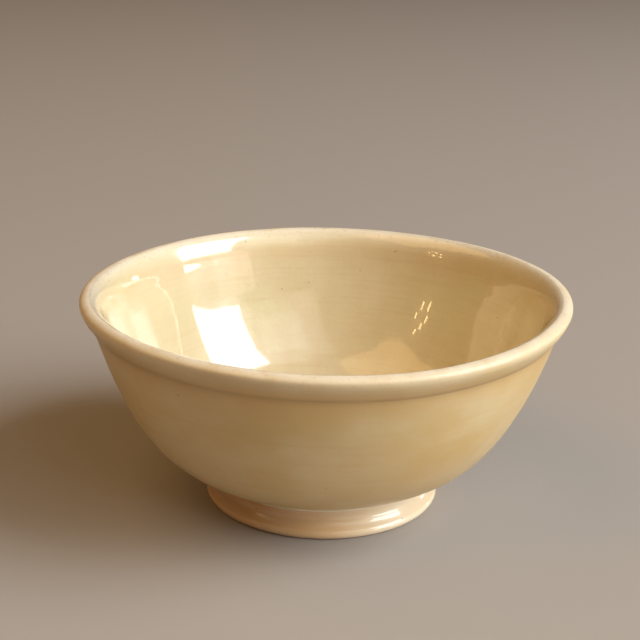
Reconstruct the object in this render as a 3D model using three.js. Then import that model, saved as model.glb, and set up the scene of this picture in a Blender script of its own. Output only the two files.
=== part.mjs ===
// A footed mixing bowl in glazed earthenware: a thrown body with a rolled rim, a flared foot ring,
// and the slip that lutes the ring to the body. Millimetres, +Z up, the foot stands on z = 0.
import * as THREE from "three";

// ---- Driving dimensions ----

// Overall
const RIM_RADIUS = 152.5; // to the outermost point of the rolled rim
const BOWL_HEIGHT = 137; // table to the crown of the rim

// Rolled rim: a fat bead that overhangs the wall, with a crease under it
const ROLL_TALL = 16.7; // crown down to the crease
const ROLL_OVERHANG = 8; // how far the bead stands out past the crease
const ROLL_OUTER_HALF = 5.5; // crown to the outermost point, along the radius
const ROLL_OUTER_DROP = 3; // crown down to the level of the outermost point
const ROLL_UNDER_SLOPE = THREE.MathUtils.degToRad(54); // the bead's underside where it leaves the crease
const ROLL_FULLNESS = 0.32; // roundness of that underside, as a share of its height
const LIP_LEVEL = 5; // how far the inside of the lip stays level as it leaves the crown
const LIP_TURN = 7; // how far it keeps to the slope of the wall as it reaches the wall

// Wall and floor
const WALL_TOP_SLOPE = THREE.MathUtils.degToRad(74); // outside of the wall just under the rim
const WALL_FOOT_SLOPE = THREE.MathUtils.degToRad(24.5); // outside of the wall where it meets the foot
const WALL_TOP_PULL = 0.9; // how long the wall keeps its top slope, as a share of its height
const WALL_FOOT_PULL = 0.19; // how long it keeps its bottom slope, as a share of its height
const WALL_AT_RIM = 8.5; // thickness of the wall under the rolled rim
const WALL_AT_FOOT = 13; // thickness of the wall above the foot, where a potter leaves it heavy
const FLOOR_THICKNESS = 7.5; // at the centre of the bowl
const FLOOR_PULL = 0.4; // how far the floor stays level, as a share of its width
const BASE_DOME = 1.2; // how far the underside is hollowed at the centre

// Foot ring
const FOOT_RADIUS = 75.2; // outermost point of the toe
const FOOT_HEIGHT = 19.5; // table to the underside of the body
const TOE_RADIUS = 3.5; // rounding of the outer toe
const FLARE_SLOPE = THREE.MathUtils.degToRad(38); // top of the flare where it leaves the toe
const HEEL_RADIUS = 2.2; // rounding of the inner edge on the table
const GROUND_WIDTH = 8.5; // flat, ground part that stands on the table
const WAIST_RADIUS = 68.6; // narrowest point of the outside, in the cove
const WAIST_HEIGHT = 13.5; // table to the waist
const COVE_PULL = 0.5; // roundness of the cove, as a share of its width and height
const RING_WALL = 9.5; // thickness of the ring at its top

// Luting slip
const SLIP_BED = 1.2; // thickness of the slip in the joint
const SLIP_BEAD = 1.1; // radius of the bead that squeezed out round the joint
const SHOULDER_OUT = 0.6; // the ring's top edge stands this far outside the waist
const JOIN_GAP = 0.3; // clearance between neighbouring solids

// How finely the curves are cut
const TURN_STEPS = 72;
const WALL_STEPS = 12;
const FLOOR_STEPS = 4;
const ARC_STEPS = 4;
const LIP_STEPS = 6;

// ---- Derived values ----

const crownRadius = RIM_RADIUS - ROLL_OUTER_HALF;
const creaseRadius = RIM_RADIUS - ROLL_OVERHANG;
const creaseHeight = BOWL_HEIGHT - ROLL_TALL;

const ringTopRadius = WAIST_RADIUS + SHOULDER_OUT;
const beadCentreRadius = ringTopRadius + JOIN_GAP;
const jointRadius = beadCentreRadius + SLIP_BEAD / 2;
const slipTop = FOOT_HEIGHT - JOIN_GAP;
const slipBottom = slipTop - SLIP_BED;
const ringTop = slipBottom - JOIN_GAP;
const ringInnerRadius = ringTopRadius - RING_WALL;
const groundOuterRadius = FOOT_RADIUS - TOE_RADIUS;
const groundInnerRadius = groundOuterRadius - GROUND_WIDTH;

const floorHeight = FOOT_HEIGHT + BASE_DOME + FLOOR_THICKNESS;

// ---- Outlines, each a list of (radius, height) points that runs up the outside ----

// The points of one curve after its first, because the first ends the stretch before it.
function along(curve, steps) {
  return curve.getPoints(steps).slice(1);
}

// A quarter of an ellipse, or any other turn, from one angle to another in degrees.
function turn(radius, height, across, up, from, to) {
  const start = THREE.MathUtils.degToRad(from);
  const end = THREE.MathUtils.degToRad(to);
  return new THREE.EllipseCurve(radius, height, across, up, start, end, end < start);
}

// A smooth sweep between two points that leaves the first and reaches the second on given slopes.
function sweep(start, leave, end, reach) {
  const from = new THREE.Vector2(...start);
  const to = new THREE.Vector2(...end);
  return new THREE.CubicBezierCurve(
    from,
    from.clone().add(new THREE.Vector2(...leave)),
    to.clone().sub(new THREE.Vector2(...reach)),
    to,
  );
}

// A step of the given length at the given slope above the horizontal, going outwards and up.
function step(length, slope) {
  return [length * Math.cos(slope), length * Math.sin(slope)];
}

// The inside of the wall, from the rim down: the outside set in by the thickness of the clay,
// which stays thin for most of the height and thickens towards the foot.
function insideOf(wall) {
  const points = [];
  for (let i = WALL_STEPS; i >= 0; i--) {
    const share = i / WALL_STEPS;
    const upward = wall.getTangent(share);
    const inward = new THREE.Vector2(-upward.y, upward.x);
    const thickness = THREE.MathUtils.lerp(WALL_AT_RIM, WALL_AT_FOOT, (1 - share) ** 2);
    points.push(wall.getPoint(share).addScaledVector(inward, thickness));
  }
  return points;
}

function bodyOutline() {
  const wallRise = creaseHeight - FOOT_HEIGHT;
  const wall = sweep(
    [jointRadius, FOOT_HEIGHT],
    step(WALL_FOOT_PULL * wallRise, WALL_FOOT_SLOPE),
    [creaseRadius, creaseHeight],
    step(WALL_TOP_PULL * wallRise, WALL_TOP_SLOPE),
  );
  const rollUnder = sweep(
    [creaseRadius, creaseHeight],
    step(ROLL_FULLNESS * (ROLL_TALL - ROLL_OUTER_DROP), ROLL_UNDER_SLOPE),
    [RIM_RADIUS, BOWL_HEIGHT - ROLL_OUTER_DROP],
    [0, ROLL_FULLNESS * (ROLL_TALL - ROLL_OUTER_DROP)],
  );
  const rollOuter = turn(
    crownRadius, BOWL_HEIGHT - ROLL_OUTER_DROP, ROLL_OUTER_HALF, ROLL_OUTER_DROP, 0, 90,
  );
  const inside = insideOf(wall);
  const lip = sweep(
    [crownRadius, BOWL_HEIGHT],
    [-LIP_LEVEL, 0],
    [inside[0].x, inside[0].y],
    step(-LIP_TURN, WALL_TOP_SLOPE),
  );
  const wallEnd = inside.at(-1);
  const [floorIn, floorDown] = step(wallEnd.y - floorHeight, WALL_FOOT_SLOPE);
  const floor = sweep(
    [wallEnd.x, wallEnd.y],
    [-floorIn, -floorDown],
    [0, floorHeight],
    [-FLOOR_PULL * wallEnd.x, 0],
  );
  return [
    new THREE.Vector2(0, FOOT_HEIGHT + BASE_DOME),
    new THREE.Vector2(ringInnerRadius - JOIN_GAP, FOOT_HEIGHT),
    new THREE.Vector2(jointRadius, FOOT_HEIGHT),
    ...along(wall, WALL_STEPS),
    ...along(rollUnder, ARC_STEPS),
    ...along(rollOuter, ARC_STEPS),
    ...along(lip, LIP_STEPS),
    ...inside.slice(1),
    ...along(floor, FLOOR_STEPS),
  ];
}

function footOutline() {
  const toeTurn = 90 - THREE.MathUtils.radToDeg(FLARE_SLOPE);
  const toe = turn(groundOuterRadius, TOE_RADIUS, TOE_RADIUS, TOE_RADIUS, -90, toeTurn);
  const toeEnd = toe.getPoint(1);
  const [flareOut, flareUp] = step(COVE_PULL * (toeEnd.x - WAIST_RADIUS), FLARE_SLOPE);
  const flare = sweep(
    [toeEnd.x, toeEnd.y],
    [-flareOut, flareUp],
    [WAIST_RADIUS, WAIST_HEIGHT],
    [0, COVE_PULL * (WAIST_HEIGHT - toeEnd.y)],
  );
  const heel = turn(groundInnerRadius, HEEL_RADIUS, HEEL_RADIUS, HEEL_RADIUS, 180, 270);
  return closed([
    new THREE.Vector2(groundInnerRadius, 0),
    new THREE.Vector2(groundOuterRadius, 0),
    ...along(toe, ARC_STEPS),
    ...along(flare, ARC_STEPS),
    new THREE.Vector2(ringTopRadius, ringTop),
    new THREE.Vector2(ringInnerRadius, ringTop),
    ...heel.getPoints(ARC_STEPS).slice(0, -1),
  ]);
}

function slipOutline() {
  const beadCentre = slipTop - SLIP_BEAD;
  const bead = turn(beadCentreRadius, beadCentre, SLIP_BEAD, SLIP_BEAD, -90, 90);
  return closed([
    new THREE.Vector2(ringInnerRadius, slipBottom),
    new THREE.Vector2(beadCentreRadius, slipBottom),
    ...bead.getPoints(2 * ARC_STEPS),
    new THREE.Vector2(ringInnerRadius, slipTop),
  ]);
}

// A ring's outline ends where it starts.
function closed(points) {
  return [...points, points[0].clone()];
}

// ---- The pieces ----

function turned(name, outline, material) {
  const shape = new THREE.LatheGeometry(outline, TURN_STEPS);
  const piece = new THREE.Mesh(shape, material);
  piece.name = name;
  return piece;
}

const bodyGlaze = new THREE.MeshStandardMaterial({ color: "#d9c48d", roughness: 0.25, metalness: 0 });
const footGlaze = new THREE.MeshStandardMaterial({ color: "#cf9f66", roughness: 0.2, metalness: 0 });
const paleSlip = new THREE.MeshStandardMaterial({ color: "#dcbf8c", roughness: 0.35, metalness: 0 });

// A lathe turns about +Y, so the wheel stands the bowl up on +Z.
const wheel = new THREE.Group();
wheel.rotation.x = Math.PI / 2;
wheel.add(
  turned("bowl_body", bodyOutline(), bodyGlaze),
  turned("foot_ring", footOutline(), footGlaze),
  turned("luting_slip", slipOutline(), paleSlip),
);

const bowl = new THREE.Group();
bowl.add(wheel);

export default bowl;
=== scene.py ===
# A footed mixing bowl in antique yellow ware, standing on a pale studio floor.
# The script puts it together as the potter did: body, foot ring, luting slip, then the studio round it.
import math

import bpy
from mathutils import Matrix, Quaternion, Vector, noise


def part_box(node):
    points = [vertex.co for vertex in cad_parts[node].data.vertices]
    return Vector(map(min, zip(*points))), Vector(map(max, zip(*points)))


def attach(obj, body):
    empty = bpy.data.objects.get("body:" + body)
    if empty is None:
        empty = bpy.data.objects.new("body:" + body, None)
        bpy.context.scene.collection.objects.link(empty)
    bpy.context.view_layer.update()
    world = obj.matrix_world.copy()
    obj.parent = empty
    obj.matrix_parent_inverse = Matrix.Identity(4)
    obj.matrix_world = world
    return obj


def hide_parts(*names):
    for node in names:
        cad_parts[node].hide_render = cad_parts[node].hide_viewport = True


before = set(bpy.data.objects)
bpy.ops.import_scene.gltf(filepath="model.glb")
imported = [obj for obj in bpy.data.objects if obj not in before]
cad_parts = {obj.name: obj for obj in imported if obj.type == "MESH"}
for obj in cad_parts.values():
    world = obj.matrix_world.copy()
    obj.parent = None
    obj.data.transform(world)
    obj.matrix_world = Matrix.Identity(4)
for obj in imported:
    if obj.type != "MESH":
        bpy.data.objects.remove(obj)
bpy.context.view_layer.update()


# ---- Bowl body ----
# One lump of buff clay thrown on the wheel: a deep round wall whose lip was folded outwards into a fat
# roll, leaving a crease under it. Dipped in a clear lead glaze that fired a warm yellow, glossier inside.

MM = 0.001
body_low, body_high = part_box("bowl_body")
slip_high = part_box("luting_slip")[1]
foot_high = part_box("foot_ring")[1]

# The clay moved as it dried and fired, and the rim moved most. The sizes leave room for that in the box.
rim_oval = 0.0072  # wider by this share of the radius along X, and narrower along Y
rim_corners = 0.0018  # and pushed out at three places round by this share
rim_shift = Vector((0.0051, -0.0013))  # off centre, as a share of the radius
rim_lean = 0.0073  # the right side stands higher, by this share of the distance from the centre
rim_saddle = 0.77 * MM  # two high and two low places round the rim
rim_waves = 0.63 * MM  # three high and three low places
rim_rise = 2.1 * MM  # how far the highest place stands over the mean
corners_at = 0.9  # how far each of these three is turned round the rim, in radians of its own wave
saddle_at = 0.73
waves_at = -0.615
wobble = 0.25 * MM  # room for dents and ridges

rim_radius = (body_high.x - wobble) / (1 + rim_oval + rim_corners + rim_shift.x)
bowl_height = body_high.z - rim_rise - wobble
base_height = body_low.z
bead_past_body = 0.6 * MM  # how far the bead of slip stands out past the lower edge of the body
bead_past_ring = 1.4 * MM  # and past the top edge of the foot ring
ring_wall = 9.5 * MM  # thickness of the ring at its top
recess_inset = 0.3 * MM  # the hollow under the body starts this far inside the ring
joint_radius = slip_high.x - bead_past_body
ring_top_radius = slip_high.x - bead_past_ring
ring_inner_radius = ring_top_radius - ring_wall
recess_radius = ring_inner_radius - recess_inset

roll_tall = 16.4 * MM  # crown down to the crease
roll_overhang = 7.65 * MM  # how far the roll stands out past the crease
roll_outer_half = 5.3 * MM  # crown out to the widest point
roll_outer_drop = 3.3 * MM  # crown down to the level of the widest point
roll_under_slope = math.radians(52)
roll_under_full = 5 * MM  # how far the underside keeps to that slope
roll_side_full = 3.8 * MM  # how far the side stays upright under the widest point
lip_level = 5 * MM  # how far the lip stays level as it goes in from the crown
lip_turn = 7 * MM  # how far it keeps to the wall's slope as it reaches the wall

wall_top_slope = math.radians(74)
wall_foot_slope = math.radians(24.5)
wall_top_pull = 0.915  # how long the wall keeps each of those slopes, as a share of its height
wall_foot_pull = 0.188
wall_at_rim = 8.5 * MM  # thickness under the roll
wall_at_foot = 13 * MM  # thickness above the foot, where the clay was left heavy
floor_thickness = 7.5 * MM
floor_pull = 0.4  # how far the floor stays level, as a share of its width
base_dome = 1.2 * MM  # how far the underside is hollowed at the centre

wall_steps = 90
wall_crowd = 1.5  # draws the wall's points together towards the crease
roll_crowd = 1.4  # and the roll's points down towards it


def step(length, slope):
    """A step outwards and up, of that length and at that slope."""
    return Vector((length * math.cos(slope), length * math.sin(slope)))


def sweep(start, leave, end, reach, steps, crowd_end=1, crowd_start=1):
    """Points on a smooth curve that leaves start and reaches end in the given directions, start left out.
    A crowding over 1 draws the points together towards that end."""
    corners = [start, start + leave, end - reach, end]
    points = []
    for i in range(1, steps + 1):
        t = 1 - (1 - (i / steps) ** crowd_start) ** crowd_end
        shares = [(1 - t) ** 3, 3 * t * (1 - t) ** 2, 3 * t * t * (1 - t), t ** 3]
        points.append(sum((c * s for c, s in zip(corners, shares)), Vector((0, 0))))
    return points


def turn(centre, across, up, start, end, steps):
    """Points round part of an ellipse, between two angles in degrees, the first left out."""
    angles = [math.radians(start + (end - start) * i / steps) for i in range(1, steps + 1)]
    return [centre + Vector((across * math.cos(a), up * math.sin(a))) for a in angles]


def straight(start, end, steps):
    """Points on a straight stretch, start left out."""
    return [start.lerp(end, i / steps) for i in range(1, steps + 1)]


def soften(outline, passes):
    """Glaze rounds every corner: each point drifts towards its neighbours."""
    for _ in range(passes):
        inner = [(a + 2 * b + c) / 4 for a, b, c in zip(outline, outline[1:], outline[2:])]
        outline = [outline[0], *inner, outline[-1]]
    return outline


def facing(outline):
    """The outward direction at each point of an outline that runs up the outside."""
    normals = []
    for i in range(len(outline)):
        ahead = outline[min(i + 1, len(outline) - 1)] - outline[max(i - 1, 0)]
        normals.append(Vector((ahead.y, -ahead.x)).normalized())
    return normals


def spin(name, outline, closed, uneven, marks):
    """Turns an outline about +Z into a mesh. uneven(angle, point, i) is how far the clay stands proud.
    Each mark gives an amount for every point of the outline, and is kept on the mesh for the finish."""
    turns = 384
    normals = facing(outline)
    poles = [i for i, p in enumerate(outline) if p.x < 1e-6]
    ring = [i for i in range(len(outline)) if i not in poles]
    vertices = []
    owners = []
    for i in ring:
        for k in range(turns):
            angle = 2 * math.pi * k / turns
            point = outline[i] + normals[i] * uneven(angle, outline[i], i)
            vertices.append((point.x * math.cos(angle), point.x * math.sin(angle), point.y))
            owners.append(i)
    faces = []
    rows = len(ring)
    for row in range(rows if closed else rows - 1):
        above = (row + 1) % rows
        for k in range(turns):
            following = (k + 1) % turns
            low_edge = (row * turns + k, row * turns + following)
            high_edge = (above * turns + following, above * turns + k)
            faces.append((*low_edge, *high_edge))
    for i in poles:
        vertices.append((0, 0, outline[i].y))
        owners.append(i)
        row = 0 if i == 0 else rows - 1
        for k in range(turns):
            edge = (row * turns + (k + 1) % turns, row * turns + k)
            if i != 0:
                edge = edge[::-1]
            faces.append((*edge, len(vertices) - 1))
    mesh = bpy.data.meshes.new(name)
    mesh.from_pydata(vertices, [], faces)
    mesh.shade_smooth()
    for mark, amounts in marks.items():
        attribute = mesh.attributes.new(mark, "FLOAT", "POINT")
        attribute.data.foreach_set("value", [amounts[i] for i in owners])
    piece = bpy.data.objects.new(name, mesh)
    bpy.context.scene.collection.objects.link(piece)
    return piece


def body_outline():
    crease = Vector((rim_radius - roll_overhang, bowl_height - roll_tall))
    joint = Vector((joint_radius, base_height))
    rise = crease.y - joint.y
    wall = [joint] + sweep(
        joint,
        step(wall_foot_pull * rise, wall_foot_slope),
        crease,
        step(wall_top_pull * rise, wall_top_slope),
        steps=wall_steps,
        crowd_end=wall_crowd,
    )
    widest = Vector((rim_radius, bowl_height - roll_outer_drop))
    roll_under = sweep(
        crease,
        step(roll_under_full, roll_under_slope),
        widest,
        Vector((0, roll_side_full)),
        steps=24,
        crowd_start=roll_crowd,
    )
    crown = rim_radius - roll_outer_half
    roll_centre = Vector((crown, widest.y))
    roll_outer = turn(roll_centre, roll_outer_half, roll_outer_drop, 0, 90, steps=12)
    inside = []
    for i, (point, outward) in enumerate(zip(wall, facing(wall))):
        share = (1 - i / wall_steps) ** wall_crowd
        thickness = wall_at_rim + (wall_at_foot - wall_at_rim) * share ** 2
        inside.append(point - outward * thickness)
    inside = inside[::-2]  # from the rim down, and every other point is enough
    lip = sweep(
        Vector((crown, bowl_height)),
        Vector((-lip_level, 0)),
        inside[0],
        -step(lip_turn, wall_top_slope),
        steps=30,
    )
    floor_height = base_height + base_dome + floor_thickness
    floor_edge = inside[-1]
    floor = sweep(
        floor_edge,
        -step(floor_edge.y - floor_height, wall_foot_slope),
        Vector((0, floor_height)),
        Vector((-floor_pull * floor_edge.x, 0)),
        steps=24,
    )
    centre = Vector((0, base_height + base_dome))
    recess = Vector((recess_radius, base_height))
    under = [centre] + straight(centre, recess, steps=16) + straight(recess, joint, steps=5)
    outline = under + wall[1:] + roll_under + roll_outer + lip + inside[1:] + floor
    outside_count = len(under) + len(wall) - 1
    return soften(outline, passes=3), outside_count, outside_count + len(roll_under) + len(roll_outer)


outline, crease_at, crown_at = body_outline()


def thrown(angle, point, i):
    """How far the thrown clay stands proud of true: three soft lobes, the spiral ridges that fingers left,
    dents, two sizes of ripple and the closed fold under the roll. All but the answer are in millimetres."""
    inside = i > crown_at
    joint_zone = 1.5 * MM  # the clay round the joint stays true
    if point.y < base_height + joint_zone and not inside:
        return 0
    spot = Vector((math.cos(angle), math.sin(angle), 0)) * point.x
    spot.z = point.y
    lobes = 0.06 * math.sin(3 * angle + 2.1)
    if inside:
        lobes = -lobes
    ridge_pitch = 9.5 if inside else 8
    ridge_size = 0.02 if inside else 0.016
    spiral = math.sin(2 * math.pi * point.y / (ridge_pitch * MM) - angle)
    ridges = ridge_size * spiral * (1 + noise.noise(spot * 12))
    away = Vector((3, 0, 9 if inside else 0))
    dents = 0.2 * noise.noise(spot * 20 + away)
    ripple = 0.05 * noise.noise(spot * 70 + away) + 0.016 * noise.noise(spot * 160 + away)
    fold_width = 1.5 * MM
    fold = 0.15 * math.exp(-((point - outline[crease_at]).length / fold_width) ** 2)
    return (lobes + ridges + dents + ripple - fold) * MM


def settle(piece):
    """Sets a piece out of true, more and more towards the rim: oval, off centre, leaning and wavy."""
    for vertex in piece.data.vertices:
        x, y, z = vertex.co
        grown = max(0, (z - base_height) / (bowl_height - base_height))
        angle = math.atan2(y, x)
        swell = rim_oval * math.cos(2 * angle) + rim_corners * math.cos(3 * angle - corners_at)
        saddle = rim_saddle * math.cos(2 * angle - saddle_at)
        waves = rim_waves * math.cos(3 * angle - waves_at)
        vertex.co.x = x * (1 + swell * grown) + rim_shift.x * rim_radius * grown
        vertex.co.y = y * (1 + swell * grown) + rim_shift.y * rim_radius * grown
        vertex.co.z = z + (rim_lean * x + saddle + waves) * grown ** 2


def near(index, reach):
    """A mark that is 1 at one point of the outline and fades out within that distance along it."""
    here = outline[index]
    return [math.exp(-((p - here).length / reach) ** 2) for p in outline]


def above_foot(reach):
    """A mark on the outside only, that is 1 at the joint and fades out up the wall."""
    fading = [math.exp(-(p.y - base_height) / reach) for p in outline]
    return fading[:crease_at] + [0.0] * (len(outline) - crease_at)


marks = {
    "inside": [1.0 if i > crown_at else 0.0 for i in range(len(outline))],
    "crease": near(crease_at, 2.6 * MM),
    "painted_shade_under_roll": near(crease_at, 9 * MM),
    "crown": near(crown_at, 6.5 * MM),
    "painted_shade_at_foot": above_foot(15 * MM),
}
body = spin("bowl_body_thrown", outline, False, thrown, marks)
settle(body)


class Flow:
    """One value or colour on its way through a finish, so that shader sums can be written as sums."""

    def __init__(self, tree, socket=None):
        self.tree = tree
        self.socket = socket

    def node(self, kind, settings, inputs, output=0):
        """Adds one node: settings first, then a value or a link for each socket."""
        made = self.tree.nodes.new(kind)
        for name, value in settings.items():
            setattr(made, name, value)
        for name, value in inputs.items():
            if isinstance(value, Flow):
                self.tree.links.new(value.socket, made.inputs[name])
            else:
                made.inputs[name].default_value = value
        if made.outputs:
            return Flow(self.tree, made.outputs[output])

    def sum(self, operation, *values):
        return self.node("ShaderNodeMath", {"operation": operation}, dict(enumerate(values)))

    def __add__(self, other):
        return self.sum("ADD", self, other)

    def __sub__(self, other):
        return self.sum("SUBTRACT", self, other)

    def __rsub__(self, other):
        return self.sum("SUBTRACT", other, self)

    def __mul__(self, other):
        return self.sum("MULTIPLY", self, other)

    __radd__ = __add__

    def over(self, low, high):
        """0 below low, 1 above high, and smooth between them."""
        limits = {"From Min": low, "From Max": high, "Value": self}
        return self.node("ShaderNodeMapRange", {"interpolation_type": "SMOOTHSTEP"}, limits)

    def tint(self, under, colour):
        """The colour laid over what is under it, as thickly as this value says. A mix node has sockets of
        the same name for numbers, arrows and colours, so the colour ones are picked by their place."""
        under_place, over_place, result_place = 6, 7, 2
        sockets = {"Factor": self, under_place: under, over_place: colour}
        return self.node("ShaderNodeMix", {"data_type": "RGBA"}, sockets, result_place)


def rgb(red, green, blue):
    return (red, green, blue, 1)


def new_finish(name):
    material = bpy.data.materials.new(name)
    material.use_nodes = True
    material.node_tree.nodes.clear()
    return material, Flow(material.node_tree)


def mark(finish, name):
    """One of the marks that were left on the mesh when it was spun."""
    return finish.node("ShaderNodeAttribute", {"attribute_name": name}, {}, "Fac")


def spread(finish, stretch):
    """The place on the piece in metres, times a stretch along each axis."""
    place = finish.node("ShaderNodeTexCoord", {}, {}, "Object")
    return finish.node("ShaderNodeVectorMath", {"operation": "MULTIPLY"}, {0: place, 1: stretch})


def cloud(finish, stretch, detail):
    """Soft random patches from 0 to 1, about one patch for each unit of the stretched place."""
    inputs = {"Vector": spread(finish, stretch), "Scale": 1.0, "Detail": detail}
    return finish.node("ShaderNodeTexNoise", {}, inputs)


def runs(finish, around, down):
    """Streaks where glaze ran down the wall, long from rim to foot."""
    level = spread(finish, (1, 1, 0))
    way = finish.node("ShaderNodeVectorMath", {"operation": "NORMALIZE"}, {0: level})
    stretched = {0: way, 1: (around, around, 0)}
    turned = finish.node("ShaderNodeVectorMath", {"operation": "MULTIPLY"}, stretched)
    both = {0: turned, 1: spread(finish, (down, down, down))}
    place = finish.node("ShaderNodeVectorMath", {"operation": "ADD"}, both)
    return finish.node("ShaderNodeTexNoise", {}, {"Vector": place, "Scale": 1.0, "Detail": 3})


def specks(finish, per_metre, size):
    """Iron specks in the clay: 1 inside a speck, 0 outside. Size is a share of their spacing."""
    inputs = {"Vector": spread(finish, (per_metre, per_metre, per_metre)), "Scale": 1.0}
    return 1 - finish.node("ShaderNodeTexVoronoi", {}, inputs).over(size * 0.5, size)


def body_glaze():
    material, finish = new_finish("body_glaze")
    inside = mark(finish, "inside")
    crease = mark(finish, "crease")
    crown = mark(finish, "crown")

    buff = rgb(0.63, 0.45, 0.19)
    straw = rgb(0.79, 0.69, 0.465)
    honey = rgb(0.60, 0.36, 0.135)
    flushed = rgb(0.66, 0.41, 0.17)
    worn_cream = rgb(0.87, 0.82, 0.68)
    green_glass = rgb(0.76, 0.71, 0.45)
    foot_shade_brown = rgb(0.42, 0.26, 0.105)
    pooled = rgb(0.30, 0.19, 0.075)
    iron = rgb(0.10, 0.045, 0.02)

    clouds = cloud(finish, (16, 16, 22), 3)
    kiln_flush = cloud(finish, (7, 7, 10), 2)
    bands = cloud(finish, (9, 9, 210), 2)
    streaks = runs(finish, 5, 12)
    fine_bands = cloud(finish, (22, 22, 480), 2)
    wear = cloud(finish, (60, 60, 60), 4)
    grain = cloud(finish, (420, 420, 420), 2)
    spots = specks(finish, 55, 0.036)
    fine_spots = specks(finish, 120, 0.04)

    # Clear glaze over the clay: buff outside, paler and greener inside, where it lies thicker.
    colour = (clouds.over(0.3, 0.7) * 0.4 + inside * 0.6).tint(buff, straw)
    colour = (kiln_flush.over(0.45, 0.75) * (1 - inside) * 0.4).tint(colour, flushed)
    colour = (streaks.over(0.45, 0.8) * inside * 0.12).tint(colour, honey)
    colour = ((1 - clouds.over(0.3, 0.6)) * inside * 0.6).tint(colour, green_glass)
    # Throwing lines, where the glaze gathers and darkens.
    colour = (bands.over(0.5, 0.75) * (1 - inside) * 0.2).tint(colour, honey)
    colour = (fine_bands.over(0.45, 0.75) * 0.11).tint(colour, honey)
    # Mottling.
    colour = (wear.over(0.45, 0.65) * (1 - inside) * 0.16).tint(colour, flushed)
    # The crown is rubbed pale by use. Painted shade darkens the wall under the roll and above the foot.
    colour = (crown * (wear.over(0.3, 0.6) * 0.3 + 0.6)).tint(colour, worn_cream)
    colour = (crown * grain.over(0.55, 0.75) * 0.3).tint(colour, honey)
    colour = (mark(finish, "painted_shade_under_roll") * 0.5).tint(colour, honey)
    colour = (crease * 0.3).tint(colour, pooled)
    # Painted shade: the wall darkens towards the foot.
    colour = (mark(finish, "painted_shade_at_foot") * 0.5).tint(colour, foot_shade_brown)
    # Grain and specks in the clay.
    colour = (grain.over(0.55, 0.8) * 0.16).tint(colour, honey)
    colour = (spots * 0.6).tint(colour, iron)
    colour = (fine_spots * 0.3).tint(colour, iron)

    ripple = cloud(finish, (75, 75, 60), 3)
    height = ripple * (0.5 + inside * 0.25) + grain * 0.02 - spots * 0.25
    height = height + fine_bands * (0.12 - inside * 0.08)
    bump = finish.node("ShaderNodeBump", {}, {"Strength": 0.5, "Distance": 0.0008, "Height": height})
    shader = finish.node(
        "ShaderNodeBsdfPrincipled",
        {},
        {
            "Base Color": colour,
            "Roughness": 0.36 + wear * 0.08 - inside * 0.22 + crown * 0.04,
            "IOR": 1.5,
            "Coat Weight": inside * 0.85 + 0.1 + spots * -0.2,
            "Coat Roughness": 0.03,
            "Coat IOR": 1.55,
            "Normal": bump,
        },
    )
    finish.node("ShaderNodeOutputMaterial", {}, {"Surface": shader})
    return material


body.data.materials.append(body_glaze())
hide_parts("bowl_body")
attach(body, "root")


# ---- Foot ring ----
# A flared ring of the same clay, thrown upside down and trimmed, with a rounded toe. It was stuck on when
# leather hard. Its foot was wiped clean of glaze, and the bare clay was ground flat to stand on a table.

foot_room = 1 * MM  # left inside the box for the shift and the unevenness
foot_radius = foot_high.x - foot_room
foot_shift = 0.6 * MM  # how far to the right of true the ring was stuck on
toe_radius = 3.4 * MM
heel_radius = 2.2 * MM
ground_width = 8.5 * MM
flare_slope = math.radians(38)
shoulder_out = 0.6 * MM  # how far the ring's top edge stands out past the waist
waist_radius = ring_top_radius - shoulder_out
waist_height = 13.5 * MM
cove_pull = 0.5  # roundness of the cove, as a share of its width and height
press = 0.4 * MM  # how far neighbouring pieces are pressed into each other
ring_top = foot_high.z + press


def foot_outline():
    toe_centre = Vector((foot_radius - toe_radius, toe_radius))
    ground_outer = Vector((toe_centre.x, 0))
    ground_inner = ground_outer - Vector((ground_width, 0))
    toe_end = 90 - math.degrees(flare_slope)
    toe = turn(toe_centre, toe_radius, toe_radius, -90, toe_end, steps=20)
    out, up = step(cove_pull * (toe[-1].x - waist_radius), flare_slope)
    cove = sweep(
        toe[-1],
        Vector((-out, up)),
        Vector((waist_radius, waist_height)),
        Vector((0, cove_pull * (waist_height - toe[-1].y))),
        steps=20,
    )
    top_outer = Vector((ring_top_radius, ring_top))
    top_inner = Vector((ring_inner_radius, ring_top))
    heel_start = Vector((ground_inner.x - heel_radius, heel_radius))
    heel_centre = Vector((ground_inner.x, heel_radius))
    return (
        straight(ground_inner, ground_outer, steps=10)
        + toe
        + cove
        + straight(cove[-1], top_outer, steps=5)
        + straight(top_outer, top_inner, steps=6)
        + straight(top_inner, heel_start, steps=10)
        + turn(heel_centre, heel_radius, heel_radius, 180, 270, steps=8)
    )


foot_points = foot_outline()


def trimmed(angle, point, i):
    """Trimming leaves the foot truer than the body, and dead flat where it was ground."""
    true_zone = 5 * MM
    lift = min(1, point.y / true_zone)
    spot = Vector((math.cos(angle), math.sin(angle), 0)) * point.x
    spot.z = point.y
    return lift * (0.16 * noise.noise(spot * 30) + 0.06 * noise.noise(spot * 110) - 0.05) * MM


wiped_to = 0.3 * MM  # the glaze was wiped off below this height, and fades in above it
fade = 0.8 * MM
ground = [1.0 if p.y < wiped_to else math.exp(-p.y / fade) for p in foot_points]
foot = spin("foot_ring_flared", foot_points, True, trimmed, {"ground": ground})
for vertex in foot.data.vertices:
    vertex.co.x += foot_shift


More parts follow.
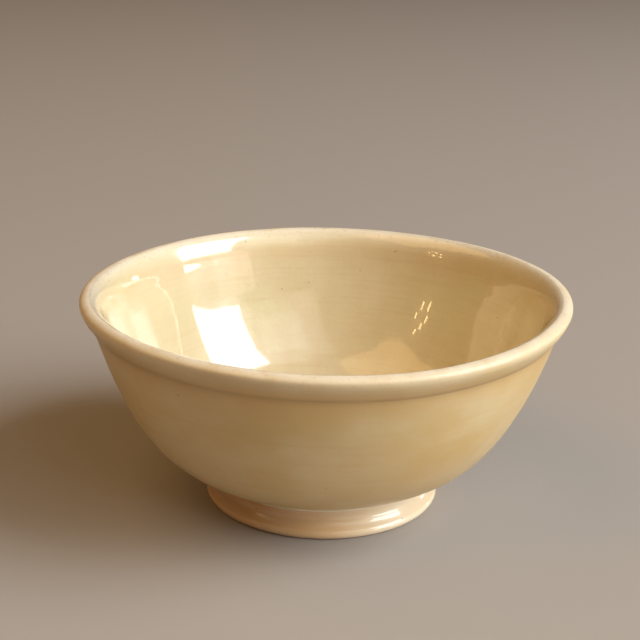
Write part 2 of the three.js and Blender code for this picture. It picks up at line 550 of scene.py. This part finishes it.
def foot_glaze():
    material, finish = new_finish("foot_glaze")
    ground = mark(finish, "ground")

    pink_buff = rgb(0.77, 0.58, 0.36)
    orange = rgb(0.80, 0.46, 0.17)
    straw = rgb(0.87, 0.75, 0.55)
    bare = rgb(0.62, 0.47, 0.33)
    kiln_dust = rgb(0.26, 0.18, 0.12)

    clouds = cloud(finish, (28, 28, 60), 3)
    bands = cloud(finish, (12, 12, 420), 2)
    wear = cloud(finish, (90, 90, 90), 4)
    grain = cloud(finish, (700, 700, 700), 3)
    spots = specks(finish, 70, 0.07)

    # Painted light: the lit right side is painted pale as straw; the shaded left keeps the clay's orange.
    lit_right_side = finish.node("ShaderNodeSeparateXYZ", {}, {0: spread(finish, (1, 1, 1))}, "X")
    colour = (clouds.over(0.35, 0.7) * 0.5 + 0.4).tint(pink_buff, orange)
    colour = (lit_right_side.over(-0.02, 0.05) * 0.8).tint(colour, straw)
    colour = (bands.over(0.5, 0.8) * 0.4).tint(colour, straw)
    colour = (spots * 0.7).tint(colour, kiln_dust)
    colour = (ground * (wear.over(0.35, 0.6) * 0.3 + 0.7)).tint(colour, bare)
    colour = (ground * wear.over(0.55, 0.75) * 0.5).tint(colour, kiln_dust)

    height = cloud(finish, (110, 110, 110), 1) * 0.5 + grain * ground * 0.6 - spots * 0.3
    bump = finish.node("ShaderNodeBump", {}, {"Strength": 0.5, "Distance": 0.0004, "Height": height})
    shader = finish.node(
        "ShaderNodeBsdfPrincipled",
        {},
        {
            "Base Color": colour,
            "Roughness": 0.3 + wear * 0.08 + ground * 0.5,
            "IOR": 1.5,
            "Coat Weight": 0.8 - ground * 0.8,
            "Coat Roughness": 0.05,
            "Coat IOR": 1.55,
            "Normal": bump,
        },
    )
    finish.node("ShaderNodeOutputMaterial", {}, {"Surface": shader})
    return material


foot.data.materials.append(foot_glaze())
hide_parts("foot_ring")
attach(foot, "root")


# ---- Luting slip ----
# Liquid clay that glues the ring to the body. A thin bed lies in the joint, and a soft, wavy bead of it
# squeezed out round the outside, where it was left under the glaze.

bead_radius = 1.1 * MM
bead_centre = Vector((slip_high.x - bead_radius, slip_high.z - bead_radius))
bed_deep = 1.3 * MM  # from the underside of the body down to the ring
bead_tuck = 1.2 * MM  # how far in from the bead's centre its lower edge starts


def slip_outline():
    bed_top_inner = Vector((ring_inner_radius, slip_high.z + press))
    bed_low_inner = Vector((ring_inner_radius, slip_high.z - bed_deep))
    tuck_low = Vector((bead_centre.x - bead_tuck, bead_centre.y - bead_radius))
    tuck_high = Vector((bead_centre.x, slip_high.z + press))
    return (
        straight(bed_top_inner, bed_low_inner, steps=4)
        + straight(bed_low_inner, tuck_low, steps=8)
        + turn(bead_centre, bead_radius, bead_radius, -90, 80, steps=16)
        + straight(tuck_high, bed_top_inner, steps=8)
    )


slip_points = slip_outline()


def squeezed(angle, point, i):
    """The bead swells and thins as the potter's finger pressed it."""
    if point.x < bead_centre.x:
        return 0
    way = Vector((math.cos(angle), math.sin(angle), 0))
    return (0.35 * noise.noise(way * 5) + 0.2 * noise.noise(way * 16) - 0.1) * MM


slip = spin("luting_slip_bead", slip_points, True, squeezed, {})


def slip_glaze():
    material, finish = new_finish("slip_glaze")
    pale = rgb(0.88, 0.78, 0.58)
    stained = rgb(0.66, 0.48, 0.28)
    patches = cloud(finish, (70, 70, 160), 4)
    grain = cloud(finish, (500, 500, 500), 2)
    colour = (patches.over(0.5, 0.75) * 0.6).tint(pale, stained)
    height = patches + grain * 0.2
    bump = finish.node("ShaderNodeBump", {}, {"Strength": 0.6, "Distance": 0.0003, "Height": height})
    shader = finish.node(
        "ShaderNodeBsdfPrincipled",
        {},
        {
            "Base Color": colour,
            "Roughness": 0.4 + patches * 0.15,
            "IOR": 1.5,
            "Coat Weight": 0.5 - patches * 0.3,
            "Coat Roughness": 0.06,
            "Normal": bump,
        },
    )
    finish.node("ShaderNodeOutputMaterial", {}, {"Surface": shader})
    return material


slip.data.materials.append(slip_glaze())
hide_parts("luting_slip")
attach(slip, "root")


# ---- Studio ----
# A pale, matt floor under soft lights: on the right a tall window, with weaker lights beside it for the
# wall and the room that it lights, a doorway and a low strip; on the left the warm glow of a room, with
# six small lamps in it that glint in the glaze.

floor_half = 12  # metres
floor_mesh = bpy.data.meshes.new("studio_floor")
corners = [(-floor_half, -floor_half, 0), (floor_half, -floor_half, 0)]
corners += [(floor_half, floor_half, 0), (-floor_half, floor_half, 0)]
floor_mesh.from_pydata(corners, [], [(0, 1, 2, 3)])
studio_floor = bpy.data.objects.new("studio_floor", floor_mesh)
bpy.context.scene.collection.objects.link(studio_floor)
floor_material, floor_finish = new_finish("pale_floor")
floor_look = {"Base Color": rgb(0.38, 0.355, 0.335), "Roughness": 0.7}
floor_shader = floor_finish.node("ShaderNodeBsdfPrincipled", {}, floor_look)
floor_finish.node("ShaderNodeOutputMaterial", {}, {"Surface": floor_shader})
floor_mesh.materials.append(floor_material)


def softbox(name, bearing, height, distance, width, tall, power, colour, tip=0):
    """A flat light that faces the bowl. Its bearing is in degrees from straight behind the bowl round to
    the right, its height in degrees above level, and it is tipped to one side by some degrees."""
    aim = Vector((0, 0, 0.6 * bowl_height))
    away = Vector((
        math.sin(math.radians(bearing)) * math.cos(math.radians(height)),
        math.cos(math.radians(bearing)) * math.cos(math.radians(height)),
        math.sin(math.radians(height)),
    ))
    light = bpy.data.lights.new(name, "AREA")
    light.shape = "RECTANGLE"
    light.size = width
    light.size_y = tall
    light.energy = power
    light.color = colour
    lamp = bpy.data.objects.new(name, light)
    lamp.location = aim + away * distance
    tipped = Quaternion((0, 0, 1), math.radians(tip))
    lamp.rotation_euler = (away.to_track_quat("Z", "Y") @ tipped).to_euler()
    bpy.context.scene.collection.objects.link(lamp)


# Bearing, height, distance in metres, width and height of the light in metres, watts and colour.
softbox("window_light", 104, 38, 4.5, 2.6, 3.1, 224, (0.98, 1, 1), tip=-16)
softbox("wall_glow", 126, 15, 4.5, 1.7, 0.9, 7, (1, 0.78, 0.68))
softbox("room_light", 150, 44, 4.5, 3.8, 3.2, 24, (0.92, 1, 0.99))
softbox("room_light_middle", 148, 42, 4.4, 1.9, 1.8, 8, (0.92, 1, 1))
softbox("door_gap", 57, 3, 4.5, 0.45, 0.8, 8, (1, 0.96, 0.85))
softbox("low_glow", 112, 6, 4.5, 2.6, 0.8, 66, (0.96, 1, 1))
softbox("warm_room", -100, 58, 4.5, 4.2, 3.2, 70, (1, 0.60, 0.22))
lamp_places = ((-113, 20), (-112, 24), (-114, 27), (-117, 21), (-119, 25), (-116, 30))
for lamp_bearing, lamp_height in lamp_places:
    softbox("warm_lamp", lamp_bearing, lamp_height, 3, 0.05, 0.13, 0.32, (1, 0.66, 0.30))

world = bpy.data.worlds.new("studio_air")
world.use_nodes = True
air = world.node_tree.nodes["Background"]
air.inputs["Color"].default_value = rgb(1, 0.58, 0.33)
air.inputs["Strength"].default_value = 0.115
bpy.context.scene.world = world
bpy.context.scene.view_settings.view_transform = "Standard"

eye = Vector((0, -5.6833, 2.7377)) * rim_radius  # in front of the bowl and above it
down = 0.3342  # how far the camera looks down, to the right and tips over, in radians
pan = -0.0029
roll = 0.021
gaze = Vector((math.sin(pan) * math.cos(down), math.cos(pan) * math.cos(down), -math.sin(down)))
level = Vector((math.cos(pan), -math.sin(pan), 0))
upright = level.cross(gaze)
right = level * math.cos(roll) + upright * math.sin(roll)
top = upright * math.cos(roll) - level * math.sin(roll)
camera_data = bpy.data.cameras.new("camera")
camera_data.sensor_width = 36
camera_data.lens = 81.5625  # millimetres
camera = bpy.data.objects.new("camera", camera_data)
camera.matrix_world = Matrix.Translation(eye) @ Matrix((right, top, -gaze)).transposed().to_4x4()
bpy.context.scene.collection.objects.link(camera)
bpy.context.scene.camera = camera
